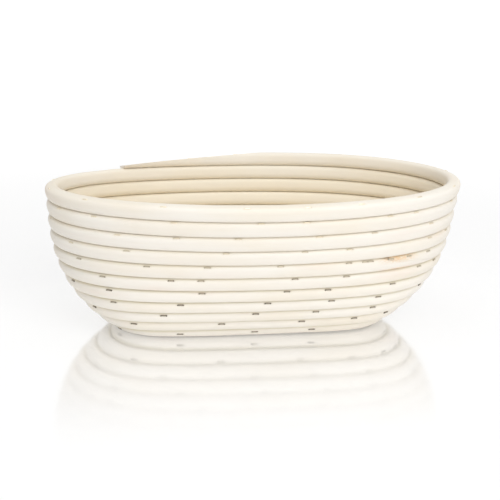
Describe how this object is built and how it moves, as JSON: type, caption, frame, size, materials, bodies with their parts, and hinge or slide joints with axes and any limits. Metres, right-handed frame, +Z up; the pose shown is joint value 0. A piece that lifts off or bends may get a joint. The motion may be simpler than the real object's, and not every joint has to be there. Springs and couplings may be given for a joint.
{
  "type": "banneton basket",
  "caption": "Oval proving basket for bread dough, wound as one rising coil of round rattan cane, with scarfed splices and wire staples holding each turn to the last.",
  "frame": {"origin": "middle of the basket's footprint in plan, on the surface that it stands on", "axes": "+X along the long side of the oval, +Y across it to the back, +Z up"},
  "size_m": [0.2486, 0.1502, 0.0921],
  "materials": {
    "base_rattan": "natural peeled rattan, matt, a little darker and floury from use under the base",
    "wall_rattan": "natural peeled rattan, matt with a faint sheen along the grain",
    "rim_rattan": "pale peeled rattan, matt with a faint sheen along the grain",
    "staple_wire": "dulled, lightly tarnished steel wire"
  },
  "bodies": {
    "root": {"base_cane": "base_rattan", "wall_cane": "wall_rattan", "rim_cane": "rim_rattan", "staples_turn_01": "staple_wire", "staples_turn_02": "staple_wire", "staples_turn_03": "staple_wire", "staples_turn_04": "staple_wire", "staples_turn_05": "staple_wire", "staples_turn_06": "staple_wire", "staples_turn_07": "staple_wire", "staples_turn_08": "staple_wire", "staples_turn_09": "staple_wire", "staples_turn_10": "staple_wire", "staples_turn_11": "staple_wire", "staples_turn_12": "staple_wire", "staples_turn_13": "staple_wire", "lower_splice_staples": "staple_wire", "upper_splice_staples": "staple_wire", "rim_end_staples": "staple_wire"}
  },
  "joints": []
}
